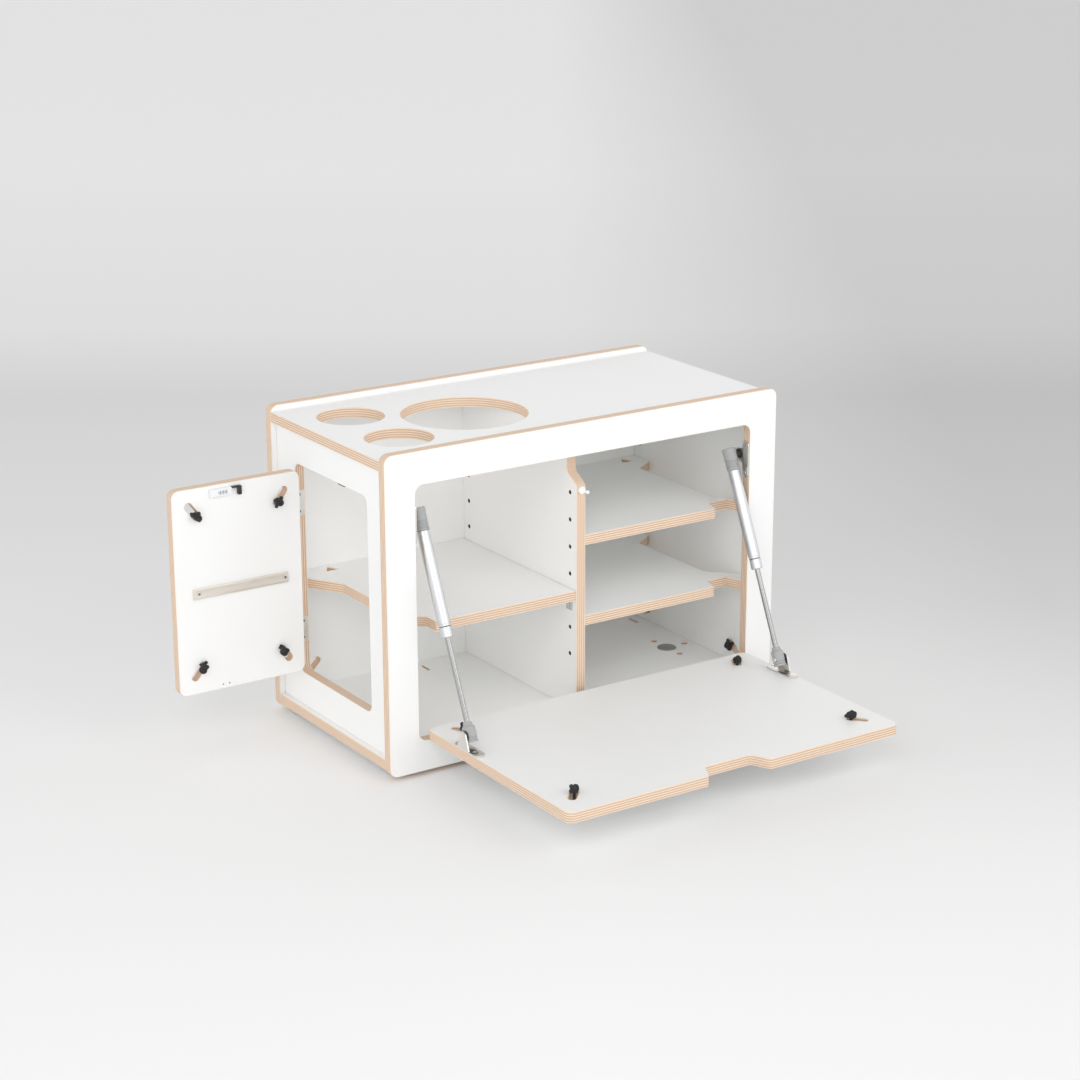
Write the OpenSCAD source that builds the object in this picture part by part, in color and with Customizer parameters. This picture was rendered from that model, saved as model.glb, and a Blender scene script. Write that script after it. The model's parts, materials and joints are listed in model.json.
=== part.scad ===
// Wooden toy kitchen: a laminated plywood cabinet that stands on four feet.
// It has a front flap held by two gas struts, a side door, a divider and three shelves.

/* [Carcass] */
// Width of the front and back panels
body_w = 525; // [515:1:540]
// Depth over the front and back panels
body_d = 267; // [262:1:280]
// Height of the front and back panels
body_h = 366; // [363:1:375]
// Thickness of every board
board_t = 12; // [11.5:0.5:12]
// How far the front and back panels stand past the other boards
lip = 7; // [6:0.5:8]
// Radius of the outer panel corners
corner_r = 10; // [6:1:14]
// Height of the feet below the bottom board
foot_h = 12; // [9:1:18]
// Diameter of a foot
foot_d = 22; // [16:1:26]

/* [Front opening and flap] */
// Width of the front opening
opening_w = 450; // [448:1:452]
// Height of the front opening
opening_h = 292; // [290:1:294]
// Height of the opening's lower edge above the panel's lower edge
opening_z = 36; // [35:0.5:37]
// Width of the flap
flap_w = 439; // [436:1:440]
// Height of the closed flap
flap_h = 278.6; // [270:0.2:280]
// Sideways offset of the flap and its struts from the middle
flap_shift = 2; // [1:0.5:2]
// Depth of the finger notch in the flap's free edge
notch_depth = 22; // [12:1:26]
// Width of the finger notch at its bottom
notch_w = 56; // [40:1:70]

/* [Side opening and door] */
// Width of the left side opening
side_open_w = 162.5; // [160:0.5:163]
// Height of the left side opening
side_open_h = 249.4; // [245:0.2:250]
// Width of the side door
door_w = 158; // [150:1:158]
// Height of the side door
door_h = 239; // [230:1:239]

/* [Top holes] */
// Diameter of the two small holes in the top
small_hole_d = 77; // [60:1:80]
// Diameter of the large hole in the top
large_hole_d = 144.5; // [130:0.5:146]

/* [Shelves] */
// Distance between two rows of shelf pin holes
pin_pitch = 32; // [32]
// Row that carries the left shelf, counted from 0
left_shelf_row = 2; // [1:1:4]
// Row that carries the upper shelf on the right
upper_shelf_row = 4; // [3:1:5]
// Row that carries the lower shelf on the right
lower_shelf_row = 1; // [0:1:2]

/* [Struts] */
// Distance between the strut pivots with the flap open
strut_len = 243.2; // [243.2]
// Diameter of a strut tube
tube_d = 14; // [13:0.5:14.5]
// Diameter of a strut rod
rod_d = 6; // [5:0.5:6.5]

/* [Cords] */
// Diameter of the elastic cords
cord_d = 3.2; // [2:0.2:3.2]
// Radius of a knot
knot_r = 6; // [4:0.5:6.5]

/* [Hidden] */
$fn = 48;

white = [0.95, 0.95, 0.93];
steel = [0.78, 0.78, 0.77];
grey_plastic = [0.66, 0.67, 0.66];
black = [0.1, 0.1, 0.1];
rubber = [0.68, 0.68, 0.66];
clear = [0.9, 0.93, 0.95];
beech = [0.86, 0.72, 0.5];

// Inside the modules, x runs from the front panel's left edge, y from its front face
// and z from its lower edge. The part's origin is on the bottom board's underside, in its middle.
module place() translate([-body_w / 2, -body_d / 2, -lip]) children();

// Faces of the boards
floor_z = lip + board_t;
roof_z = body_h - lip - board_t;
left_x = lip + board_t;
right_x = body_w - lip - board_t;
back_y = body_d - board_t;
inner_d = back_y - board_t;
open_x = (body_w - opening_w) / 2;

// Flap: the pin lies in front of the panel, in the middle of the gap under the flap
edge_gap = 0.5;
pin_out = 2;
flap_x = (body_w - flap_w) / 2 + flap_shift;
flap_pin = [-pin_out, opening_z + edge_gap];
flap_rear_y = flap_pin[0] - edge_gap;
flap_z = flap_pin[1] + pin_out;
flap_hinge_x = [100, body_w / 2 + 1.5, body_w - 97];
flap_hinge_len = 50;

// Side door, drawn open at a right angle: its pin is vertical, left of the side panel
side_open_y = 51;
side_open_z = 59;
door_pin = [lip - pin_out, side_open_y + side_open_w - edge_gap];
door_x = door_pin[0] - edge_gap - door_w;
door_y = door_pin[1] - pin_out - board_t;
door_z = side_open_z + 5.5;
side_hinge_z = [109, 260];
side_hinge_len = 30;

// Hinge leaves, knuckles and countersunk screws
leaf_w = 12.5;
leaf_gap = 0.15;
leaf_y = 1;
knuckle_r = 1.7;
knuckle_gap = 0.3;
pin_r = 0.9;
running = 0.05;
screw_r = 1.3;
screw_head_r = 2.4;
screw_len = 10;

// Divider, shelves and pin holes
divider_x = 255.5;
divider_step = [20, 18];
divider_front = 15;
divider_step_z = 286;
shelf_front = 16;
shelf_gap = 0.4;
notch_y = 38;
pin_row_z = 86;
pin_rows = 7;
pin_cols = [28, 243.5];
pin_d = 5;
pin_depth = 5.5;
dowel_d = 6;
dowel_in_panel = 7;
dowel_in_board = 9;

// Feet and floor disc
foot_x = 20;
foot_y = 24.5;
disc_d = 23;
disc_xy = [467.6, 130];

// Strut pivots: upper on the cabinet, lower on the open flap
strut_half = 210.4;
strut_left = body_w / 2 + flap_shift - strut_half;
strut_right = body_w / 2 + flap_shift + strut_half;
upper_pivot = [20.7, 288.2];
strut_tilt = 24.1;
lower_pivot = upper_pivot - strut_len * [sin(strut_tilt), cos(strut_tilt)];
head_w = 15;
head_r = 7.6;
strut_pin_r = 3;
rod_head_top = 14.1;
tube_len = 117.7;
collar_len = 15;
tube_head_z = strut_len - 18.3;
collar_z = tube_head_z - tube_len;
tube_bore_r = 5.5;
guide_len = 4;
piston_len = 8;
side_clear = 0.3;
plate_t = 2;
ear_t = 1.5;

// Cord slots, as places along both edges of a panel
slot_w = 9;
cord_off = cord_d / 2 + 0.15;
cord_bow = cord_d + 0.1;
cord_bend = 3.2;
cord_sides = 8;

function arc(c, r, from, to, n = 8) =
    [for (i = [0:n]) c + r * [cos(from + (to - from) * i / n), sin(from + (to - from) * i / n)]];

// Rounded rectangle from corner a to corner b
function rounded(a, b, r) = concat(
    arc([b[0] - r, b[1] - r], r, 0, 90), arc([a[0] + r, b[1] - r], r, 90, 180),
    arc([a[0] + r, a[1] + r], r, 180, 270), arc([b[0] - r, a[1] + r], r, 270, 360));

// S-shaped edge from a to b that leaves and arrives along the second coordinate
function s_edge(a, b, n = 12) =
    [for (i = [0:n]) [a[0] + (b[0] - a[0]) * (1 - cos(180 * i / n)) / 2, a[1] + (b[1] - a[1]) * i / n]];

// The same, leaving and arriving along the first coordinate
function s_edge_flat(a, b, n = 12) =
    [for (i = [0:n]) [a[0] + (b[0] - a[0]) * i / n, a[1] + (b[1] - a[1]) * (1 - cos(180 * i / n)) / 2]];

// Extrudes an outline in x and z towards the rear, starting at y
module upright(y, depth) translate([0, y + depth, 0]) rotate([90, 0, 0]) linear_extrude(depth) children();

// Extrudes an outline in y and z towards the right, starting at x
module sideways(x, depth) translate([x, 0, 0]) rotate([90, 0, 90]) linear_extrude(depth) children();

// Slot with round ends, centred on a and b
module slot(a, b) translate(a) rotate(atan2(b[1] - a[1], b[0] - a[0]))
    polygon(concat(arc([0, 0], slot_w / 2, 90, 270), arc([norm(b - a), 0], slot_w / 2, -90, 90)));

// Four diagonal slots in a panel from corner lo to corner hi.
// near and far give the slot ends' distances from the edges; the upper pair may differ.
module corner_slots(lo, hi, near, far, near_up, far_up) {
    slot(lo + near, lo + far);
    slot([hi[0] - near[0], lo[1] + near[1]], [hi[0] - far[0], lo[1] + far[1]]);
    slot([lo[0] + near_up[0], hi[1] - near_up[1]], [lo[0] + far_up[0], hi[1] - far_up[1]]);
    slot(hi - near_up, hi - far_up);
}

// ---- Screws, hinges and dowels ----

// Countersunk screw that points along +y, with its head's face at y = 0
module screw(grow = 0) rotate([-90, 0, 0]) {
    cylinder(h = screw_head_r - screw_r, r1 = screw_head_r + grow, r2 = screw_r + grow);
    cylinder(h = screw_len + grow, r = screw_r + grow);
}

// Places the screws of a hinge in the hinge's own frame: pin along z, leaf towards +x
module at_hinge_screws(len) for (side = [-1, 1])
    translate([7, leaf_gap, side * len / 3]) children();

// Leaf with its knuckles. The middle knuckle is on the moving leaf.
module hinge_leaf(len, moving) {
    third = len / 3;
    own = moving ? [0] : [-1, 1];
    other = moving ? [-1, 1] : [0];
    difference() {
        union() {
            translate([0, leaf_gap, -len / 2]) cube([leaf_w, leaf_y - leaf_gap, len]);
            for (k = own) translate([0, 0, (k - 0.5) * third]) cylinder(h = third, r = knuckle_r);
        }
        for (k = other) translate([0, 0, (k - 0.5) * third - knuckle_gap])
            cylinder(h = third + 2 * knuckle_gap, r = knuckle_r + knuckle_gap);
        translate([0, 0, -len]) cylinder(h = 2 * len, r = pin_r + (moving ? running : 0));
        at_hinge_screws(len) screw(running);
    }
}

module hinge_pin(len) translate([0, 0, -len / 2]) cylinder(h = len, r = pin_r);

// Room for a leaf and its screws in a board's edge
module hinge_pocket(len) {
    translate([pin_out - 1, 0, -len / 2 - running])
        cube([leaf_w - pin_out + 1 + running, leaf_y, len + 2 * running]);
    at_hinge_screws(len) screw(running);
}

// Turns a hinge part on the frame side into one on the moving side, opened by a right angle
module opened() rotate([0, 0, -90]) mirror([0, 1, 0]) children();

module at_side_hinges() for (z = side_hinge_z) translate([door_pin[0], door_pin[1], z]) children();

module at_flap_hinges() for (x = flap_hinge_x)
    translate([x, flap_pin[0], flap_pin[1]]) rotate([-90, 0, 90]) children();

module dowel(y, grow) translate([0, y, 0]) rotate([-90, 0, 0])
    cylinder(h = dowel_in_panel + dowel_in_board, d = dowel_d + grow);

module all_dowels(grow = 0) {
    for (x = [90, 262, body_w - 90], z = [lip + board_t / 2, body_h - lip - board_t / 2])
        translate([x, 0, z]) dowel_pair(grow);
    for (x = [lip + board_t / 2, body_w - lip - board_t / 2],
            z = [pin_row_z + pin_pitch / 2, pin_row_z + pin_pitch * 5.5])
        translate([x, 0, z]) dowel_pair(grow);
}

module dowel_pair(grow) {
    dowel(board_t - dowel_in_panel, grow);
    dowel(back_y - dowel_in_board, grow);
}

// ---- Carcass ----

module panel_outline() polygon(rounded([0, 0], [body_w, body_h], corner_r));

module front_frame() place() color(white) difference() {
    upright(0, board_t) difference() {
        panel_outline();
        polygon(rounded([open_x, opening_z], [open_x + opening_w, opening_z + opening_h], corner_r));
    }
    all_dowels(running);
    at_flap_hinges() hinge_pocket(flap_hinge_len);
    upper_bracket_screw_set(running);
}

module back_panel() place() color(white) difference() {
    upright(back_y, board_t) difference() {
        panel_outline();
        corner_slots([lip, lip], [body_w - lip, body_h - lip], [34, 34], [43, 43], [34, 34], [43, 43]);
    }
    all_dowels(running);
}

module top_panel() place() color(white) difference() {
    translate([0, board_t, roof_z]) linear_extrude(board_t) difference() {
        square([body_w, inner_d]);
        for (y = [68.5, 175.5]) translate([66, y]) circle(d = small_hole_d, $fn = 96);
        translate([179.5, 116.5]) circle(d = large_hole_d, $fn = 128);
    }
    all_dowels(running);
}

module bottom_panel() place() color(white) difference() {
    translate([0, board_t, lip]) cube([body_w, inner_d, board_t]);
    // Narrow slots near the back
    for (x = [184, 489.5]) translate([x, 225, 0]) cube([3, 18, 3 * board_t]);
    // Disc recess with a hole on three sides of it
    translate([disc_xy[0], disc_xy[1], floor_z - 1]) cylinder(h = 2, d = disc_d + 0.1);
    for (p = [[0, 26.5], [26.5, 0], [0, -26.5]])
        translate([disc_xy[0] + p[0], disc_xy[1] + p[1], 0]) cylinder(h = 3 * board_t, d = 8.5);
    all_dowels(running);
    foot_screw_set(running);
}

module side_board(x) sideways(x, board_t)
    translate([board_t, floor_z]) square([inner_d, roof_z - floor_z]);

// Rows of shelf pin holes that start at x and go towards dir
module pin_holes(x, dir) for (y = pin_cols, row = [0:pin_rows - 1])
    translate([x, y, pin_row_z + row * pin_pitch]) rotate([0, 90 * dir, 0])
        translate([0, 0, -1]) cylinder(h = pin_depth + 1, d = pin_d);

module left_side_panel() place() color(white) difference() {
    side_board(lip);
    sideways(0, 3 * board_t) polygon(rounded([side_open_y, side_open_z],
        [side_open_y + side_open_w, side_open_z + side_open_h], corner_r));
    pin_holes(left_x, -1);
    all_dowels(running);
    at_side_hinges() hinge_pocket(side_hinge_len);
}

module right_side_panel() place() color(white) difference() {
    side_board(right_x);
    sideways(right_x - 1, 2 * board_t) side_panel_slots();
    pin_holes(right_x, 1);
    all_dowels(running);
}

side_slot_near = [27, 12];
side_slot_far = [39, 21];
module side_panel_slots() corner_slots([board_t, floor_z], [back_y, roof_z],
    side_slot_near, side_slot_far, side_slot_near, side_slot_far);

module divider() place() color(white) difference() {
    sideways(divider_x, board_t) polygon(concat(
        [[back_y, floor_z], [back_y, roof_z], [divider_front + divider_step[0], roof_z]],
        s_edge([divider_front + divider_step[0], divider_step_z + divider_step[1]],
            [divider_front, divider_step_z]),
        [[divider_front, floor_z]]));
    pin_holes(divider_x, 1);
    pin_holes(divider_x + board_t, -1);
}

// ---- Shelves ----

function shelf_z(row) = pin_row_z + row * pin_pitch + pin_d / 2;

module shelf_hole(x) translate([x, 240]) rotate(90) circle(d = 18, $fn = 3);

module left_shelf() place() color(white) translate([0, 0, shelf_z(left_shelf_row)]) linear_extrude(board_t)
    difference() {
        polygon(concat(
            [[left_x + shelf_gap, back_y], [left_x + shelf_gap, 236], [24.5, 227], [50, 185]],
            s_edge([50.4, 50], [70.2, 34]),
            [[70.2, shelf_front], [divider_x - shelf_gap, shelf_front], [divider_x - shelf_gap, back_y]]));
        shelf_hole(64);
    }

// The front notch clears the strut. The right edge stands off the wall, except at the pins.
// neck_y is where the edge turns out to the front pin.
module right_shelf(row, neck_y) translate([0, 0, shelf_z(row)]) linear_extrude(board_t)
    difference() {
        start_x = divider_x + board_t + shelf_gap;
        edge_x = body_w - 48.5;
        wall_x = right_x - shelf_gap;
        polygon(concat(
            [[start_x, back_y], [start_x, shelf_front], [edge_x - 25, shelf_front]],
            [[edge_x - 19, notch_y]],
            s_edge([edge_x + 9, notch_y], [edge_x + 15, shelf_front]),
            [[wall_x, shelf_front]],
            s_edge([wall_x, 33], [edge_x, neck_y]),
            s_edge([edge_x, 199], [wall_x, 226]),
            [[wall_x, back_y]]));
        shelf_hole(edge_x + 5);
    }

module right_upper_shelf() place() color(white) right_shelf(upper_shelf_row, 52);

module right_lower_shelf() place() color(white) right_shelf(lower_shelf_row, 74);

// Clear bracket with a pin, on a wall at x that faces dir, under the shelf in the given row
module shelf_support(x, dir, y, row) translate([x, y, shelf_z(row)]) mirror([dir < 0 ? 1 : 0, 0, 0]) {
    translate([0, -5, -13]) cube([1.8, 10, 13]);
    translate([0, -5, -2]) cube([8, 10, 2]);
    translate([0, 0.9, 0]) rotate([90, 0, 0]) linear_extrude(1.8)
        polygon([[0, -13], [0, 0], [8, 0], [8, -2]]);
    translate([-pin_depth + 0.3, 0, -pin_d / 2]) rotate([0, 90, 0])
        cylinder(h = pin_depth, d = pin_d - 0.1);
}

module shelf_supports() place() color(clear) for (y = pin_cols) {
    shelf_support(left_x, 1, y, left_shelf_row);
    shelf_support(divider_x, -1, y, left_shelf_row);
    for (row = [upper_shelf_row, lower_shelf_row]) {
        shelf_support(divider_x + board_t, 1, y, row);
        shelf_support(right_x, -1, y, row);
    }
}

module dowels() place() color(beech) all_dowels();

// ---- Feet, catches and disc ----

module at_feet() for (x = [foot_x, body_w - foot_x], y = [foot_y, body_d - foot_y])
    translate([x, y, lip]) children();

module feet() place() color(rubber) at_feet() difference() {
    translate([0, 0, -foot_h]) cylinder(h = foot_h, d1 = foot_d - 2, d2 = foot_d);
    translate([0, 0, -foot_h]) cylinder(h = 5, d = 8);
    translate([0, 0, -foot_h - 1]) cylinder(h = foot_h + 2, r = screw_r + running);
}

// Screws that hold the feet, with their heads inside them
module foot_screw_set(grow = 0) at_feet() {
    translate([0, 0, -foot_h + 5 - 2]) cylinder(h = 2, r = 3.4 + grow);
    translate([0, 0, -foot_h + 5]) cylinder(h = foot_h + 2, r = screw_r + grow);
}

module foot_screws() place() color(steel) foot_screw_set();

// White stop for the closed flap, on the divider's front edge below the step
module divider_catch() place() color(white) translate([divider_x + board_t / 2, 0, divider_step_z - 3]) {
    upright(divider_front - 2.6, 2.6) circle(d = 9);
    upright(divider_front - 1.6, 1.6) rotate(-25) translate([0, -1.2]) square([8, 2.4]);
    upright(divider_front - 2.4, 2.4) rotate(-25) translate([8.6, 0]) circle(d = 4.4);
}

// Black stop above the side opening, which the closed door's catch meets
module door_strike() place() color(black) translate([left_x, 122, 0]) union() {
    translate([0, 0, side_open_z + side_open_h + 1]) cube([6, 14, 14]);
    translate([side_clear, 0, side_open_z + side_open_h - 8.5]) cube([6 - side_clear, 14, 23.5]);
}

module floor_disc() place() color(steel) translate([disc_xy[0], disc_xy[1], floor_z - 1]) {
    cylinder(h = 1.6, d = disc_d);
    cylinder(h = 2, d = disc_d - 3);
}

// ---- Side door ----

door_slot_near = [20, 20];
door_slot_far = [29, 32];

module side_door() place() color(white) difference() {
    upright(door_y, board_t) difference() {
        polygon(rounded([door_x, door_z], [door_x + door_w, door_z + door_h], 9));
        corner_slots([door_x, door_z], [door_x + door_w, door_z + door_h],
            door_slot_near, door_slot_far, door_slot_near, door_slot_far);
    }
    at_side_hinges() opened() hinge_pocket(side_hinge_len);
    door_bar_screw_set(running);
    // Two blind pilot holes near the lower edge
    for (x = [53.5, 61.5]) translate([door_x + x, door_y - 1, door_z + 5])
        rotate([-90, 0, 0]) cylinder(h = 6, d = 2);
}

bar_len = 118;
bar_h = 12;
bar_t = 2.5;
bar_x = door_x + 21;
bar_z = 182;

module door_bar_screw_set(grow = 0) for (x = [6.8, bar_len - 3.7])
    translate([bar_x + x, door_y - bar_t, bar_z]) screw(grow);

module door_bar() place() color(steel) difference() {
    translate([bar_x, door_y - bar_t, bar_z - bar_h / 2]) cube([bar_len, bar_t, bar_h]);
    door_bar_screw_set(running);
}

module door_bar_screws() place() color(steel) door_bar_screw_set();

catch_x = door_x + 45.5;
catch_z = door_z + door_h - 13.5;

// White catch body on the door's inner face
module door_catch() place() color(white) upright(door_y - 3.5, 3.5)
    polygon(rounded([catch_x, catch_z], [catch_x + 27, catch_z + 9], 1.5));

// Black L-shaped lever beside it
module door_catch_lever() place() color(black) union() {
    translate([catch_x + 27.3, door_y - 3.5, catch_z + 7]) cube([11, 3.5, 2]);
    translate([catch_x + 34.3, door_y - 5, catch_z - 1]) cube([4, 5, 10]);
}

// ---- Flap ----

flap_lo = [flap_x, flap_rear_y - flap_h];
flap_hi = [flap_x + flap_w, flap_rear_y];
flap_slot_near = [25, 31];
flap_slot_far = [35, 42];
flap_slot_near_rear = [27, 17];
flap_slot_far_rear = [33, 29];

module flap_notch() {
    mid_x = body_w / 2 + 1;
    side = 15;
    rim_y = flap_lo[1];
    polygon(concat(
        [[mid_x - notch_w / 2 - side, rim_y - 1]],
        s_edge_flat([mid_x - notch_w / 2 - side, rim_y], [mid_x - notch_w / 2, rim_y + notch_depth]),
        s_edge_flat([mid_x + notch_w / 2, rim_y + notch_depth], [mid_x + notch_w / 2 + side, rim_y]),
        [[mid_x + notch_w / 2 + side, rim_y - 1]]));
}

module flap() place() color(white) difference() {
    translate([0, 0, flap_z]) linear_extrude(board_t) difference() {
        polygon(rounded(flap_lo, flap_hi, 9));
        flap_notch();
        corner_slots(flap_lo, flap_hi, flap_slot_near, flap_slot_far,
            flap_slot_near_rear, flap_slot_far_rear);
    }
    at_flap_hinges() opened() hinge_pocket(flap_hinge_len);
    lower_bracket_screw_set(running);
}

// ---- Strut brackets ----

bracket_screw_dz = [-19.7, 13.2];
lower_plate_y = [-107, -57];
lower_screw_dy = [-93, -62];

// Both put the wall of the front opening at x = 0, with the inside towards +x
module left_jamb() translate([open_x, 0, 0]) children();

module right_jamb() translate([body_w - open_x, 0, 0]) mirror([1, 0, 0]) children();

module upper_bracket(strut_dx) difference() {
    union() {
        sideways(0, plate_t) translate([0, upper_pivot[1]]) polygon(concat(
            arc([6, bracket_screw_dz[0]], 5.5, 180, 360), [[11.5, -9], [27, -6], [27, 6], [11.5, 9]],
            arc([6, bracket_screw_dz[1]], 5.5, 0, 180)));
        translate([0, upper_pivot[0], upper_pivot[1]]) rotate([0, 90, 0])
            cylinder(h = strut_dx - head_w / 2 - side_clear, r = 4);
    }
    jamb_screws(running);
}

module jamb_screws(grow = 0) for (dz = bracket_screw_dz)
    translate([plate_t, 6, upper_pivot[1] + dz]) rotate([0, 0, 90]) screw(grow);

module upper_bracket_screw_set(grow = 0) {
    left_jamb() jamb_screws(grow);
    right_jamb() jamb_screws(grow);
}

module left_upper_bracket() place() color(steel) left_jamb() upper_bracket(strut_left - open_x);

module right_upper_bracket() place() color(steel) right_jamb() upper_bracket(body_w - open_x - strut_right);

module upper_bracket_screws() place() color(steel) upper_bracket_screw_set();

// Plate on the open flap with an ear outside the rod head and a pin through it.
// x = 0 is the strut's middle and the ear stands towards -x.
module lower_bracket() difference() {
    ear_x = -head_w / 2 - side_clear - ear_t;
    union() {
        translate([ear_x, 0, flap_z + board_t]) linear_extrude(plate_t) polygon(concat(
            arc([6.5, lower_plate_y[0] + 6.5], 6.5, 180, 360),
            arc([6.5, lower_plate_y[1] - 6.5], 6.5, 0, 180)));
        sideways(ear_x, ear_t) polygon(concat(
            [[lower_pivot[0] + 12, flap_z + board_t]],
            arc(lower_pivot, 6, 30, 150),
            [[lower_pivot[0] - 12, flap_z + board_t]]));
        translate([ear_x, lower_pivot[0], lower_pivot[1]]) rotate([0, 90, 0])
            cylinder(h = ear_t + side_clear + head_w, r = strut_pin_r);
    }
    lower_screws(running);
}

module lower_screws(grow = 0) for (y = lower_screw_dy)
    translate([-4, y, flap_z + board_t + plate_t]) rotate([-90, 0, 0]) screw(grow);

module at_left_strut() translate([strut_left, 0, 0]) children();

module at_right_strut() translate([strut_right, 0, 0]) mirror([1, 0, 0]) children();

module lower_bracket_screw_set(grow = 0) {
    at_left_strut() lower_screws(grow);
    at_right_strut() lower_screws(grow);
}

module left_lower_bracket() place() color(steel) at_left_strut() lower_bracket();

module right_lower_bracket() place() color(steel) at_right_strut() lower_bracket();

module lower_bracket_screws() place() color(steel) lower_bracket_screw_set();

// ---- Gas struts, along z from the lower pivot ----

module strut_axis() translate([0, lower_pivot[0], lower_pivot[1]]) rotate([-strut_tilt, 0, 0]) children();

module pivot_bore(z) translate([-head_w, 0, z]) rotate([0, 90, 0])
    cylinder(h = 2 * head_w, r = strut_pin_r + running);

module pivot_end(z) translate([-head_w / 2, 0, z]) rotate([0, 90, 0]) cylinder(h = head_w, r = head_r);

piston_z = collar_z + guide_len + collar_len + 0.5;

module rod() strut_axis() translate([0, 0, rod_head_top - 8])
    cylinder(h = piston_z + piston_len + 2 - rod_head_top + 8, d = rod_d);

module rod_head() strut_axis() difference() {
    union() {
        pivot_end(0);
        cylinder(h = rod_head_top - 3, d = head_w - 1);
        cylinder(h = rod_head_top, d = head_w - 4);
    }
    pivot_bore(0);
    translate([0, 0, rod_head_top - 8]) cylinder(h = 9, d = rod_d);
}

module piston() strut_axis() difference() {
    translate([0, 0, piston_z]) cylinder(h = piston_len, r = tube_bore_r - running);
    cylinder(h = strut_len, d = rod_d);
    translate([0, 0, piston_z + 3]) difference() {
        cylinder(h = 2, r = tube_bore_r + 1);
        cylinder(h = 2, r = tube_bore_r - 1);
    }
}

module tube() strut_axis() difference() {
    translate([0, 0, collar_z + collar_len]) cylinder(h = tube_len - collar_len, d = tube_d);
    cylinder(h = strut_len, r = tube_bore_r);
}

module rod_guide() strut_axis() difference() {
    union() {
        translate([0, 0, collar_z]) cylinder(h = collar_len, d = tube_d - 0.8);
        translate([0, 0, collar_z]) cylinder(h = collar_len + guide_len, r = tube_bore_r);
    }
    cylinder(h = strut_len, d = rod_d + 2 * running);
}

module tube_head() strut_axis() difference() {
    union() {
        pivot_end(strut_len);
        translate([0, 0, tube_head_z]) cylinder(h = strut_len - tube_head_z, d = head_w - 2);
        // Ribs
        for (i = [0:3]) translate([0, 0, tube_head_z + i * 3]) cylinder(h = 1.8, d = head_w);
        translate([0, 0, tube_head_z - 8]) cylinder(h = 9, r = tube_bore_r - running);
    }
    pivot_bore(strut_len);
}

module left_rod() place() color(steel) at_left_strut() rod();

module left_rod_head() place() color(grey_plastic) at_left_strut() rod_head();

module left_piston() place() color(black) at_left_strut() piston();

module left_tube() place() color(steel) at_left_strut() tube();

module left_rod_guide() place() color(grey_plastic) at_left_strut() rod_guide();

module left_tube_head() place() color(grey_plastic) at_left_strut() tube_head();

module right_rod() place() color(steel) at_right_strut() rod();

module right_rod_head() place() color(grey_plastic) at_right_strut() rod_head();

module right_piston() place() color(black) at_right_strut() piston();

module right_tube() place() color(steel) at_right_strut() tube();

module right_rod_guide() place() color(grey_plastic) at_right_strut() rod_guide();

module right_tube_head() place() color(grey_plastic) at_right_strut() tube_head();

// ---- Hinges ----

module side_hinge_frame_leaves() place() color(steel) at_side_hinges() hinge_leaf(side_hinge_len, false);

module side_hinge_pins() place() color(steel) at_side_hinges() hinge_pin(side_hinge_len);

module side_hinge_frame_screws() place() color(steel)
    at_side_hinges() at_hinge_screws(side_hinge_len) screw();

module flap_hinge_frame_leaves() place() color(steel) at_flap_hinges() hinge_leaf(flap_hinge_len, false);

module flap_hinge_pins() place() color(steel) at_flap_hinges() hinge_pin(flap_hinge_len);

module flap_hinge_frame_screws() place() color(steel)
    at_flap_hinges() at_hinge_screws(flap_hinge_len) screw();

module side_hinge_door_leaves() place() color(steel)
    at_side_hinges() opened() hinge_leaf(side_hinge_len, true);

module side_hinge_door_screws() place() color(steel)
    at_side_hinges() opened() at_hinge_screws(side_hinge_len) screw();

module flap_hinge_leaves() place() color(steel)
    at_flap_hinges() opened() hinge_leaf(flap_hinge_len, true);

module flap_hinge_screws() place() color(steel)
    at_flap_hinges() opened() at_hinge_screws(flap_hinge_len) screw();

// ---- Elastic cords ----
// A cord starts in a knot on the panel's inner side, comes out through a slot, runs along
// the outer face to the opposite slot and ends in a second knot. In a cord's own frame the
// outer face is z = 0, the panel fills z = 0 to board_t, and the cord runs along x.

function knot_rings() = concat(
    [[0, board_t + 0.3 + 2 * knot_r + 5, cord_d / 2]],
    [for (a = [20:28:160]) [0, board_t + 0.3 + knot_r * (1 + cos(a)), max(cord_d / 2, knot_r * sin(a))]]);

function bend_rings() = [for (a = [0:30:90])
    [cord_bend * (1 - cos(a)), cord_bend * (1 - sin(a)) - cord_off, cord_d / 2]];

function bow_rings(span, bow) = [for (i = [-3:3])
    [span / 2 + 8 * i, -cord_off - bow * (1 + cos(60 * i)) / 2, cord_d / 2]];

// The same rings in reverse order, at the far end of a span
function flipped(rings, span) =
    [for (i = [len(rings) - 1:-1:0]) [span - rings[i][0], rings[i][1], rings[i][2]]];

function cord_rings(span, bow) = concat(knot_rings(), bend_rings(), bow_rings(span, bow),
    flipped(bend_rings(), span), flipped(knot_rings(), span));

// Tube through rings of [x, z, radius], all in one plane
module planar_tube(rings) {
    last = len(rings) - 1;
    n = cord_sides;
    points = [for (i = [0:last])
        let (a = rings[max(i - 1, 0)], b = rings[min(i + 1, last)],
            t = [b[0] - a[0], b[1] - a[1]] / norm([b[0] - a[0], b[1] - a[1]]))
        for (k = [0:n - 1])
            [rings[i][0] - t[1] * rings[i][2] * sin(360 * k / n), rings[i][2] * cos(360 * k / n),
                rings[i][1] + t[0] * rings[i][2] * sin(360 * k / n)]];
    sides = [for (i = [0:last - 1], k = [0:n - 1])
        let (a = i * n + k, b = i * n + (k + 1) % n) each [[a, b, a + n], [b, b + n, a + n]]];
    caps = [[for (k = [n - 1:-1:0]) k], [for (k = [0:n - 1]) last * n + k]];
    polyhedron(points, concat(sides, caps));
}

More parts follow.
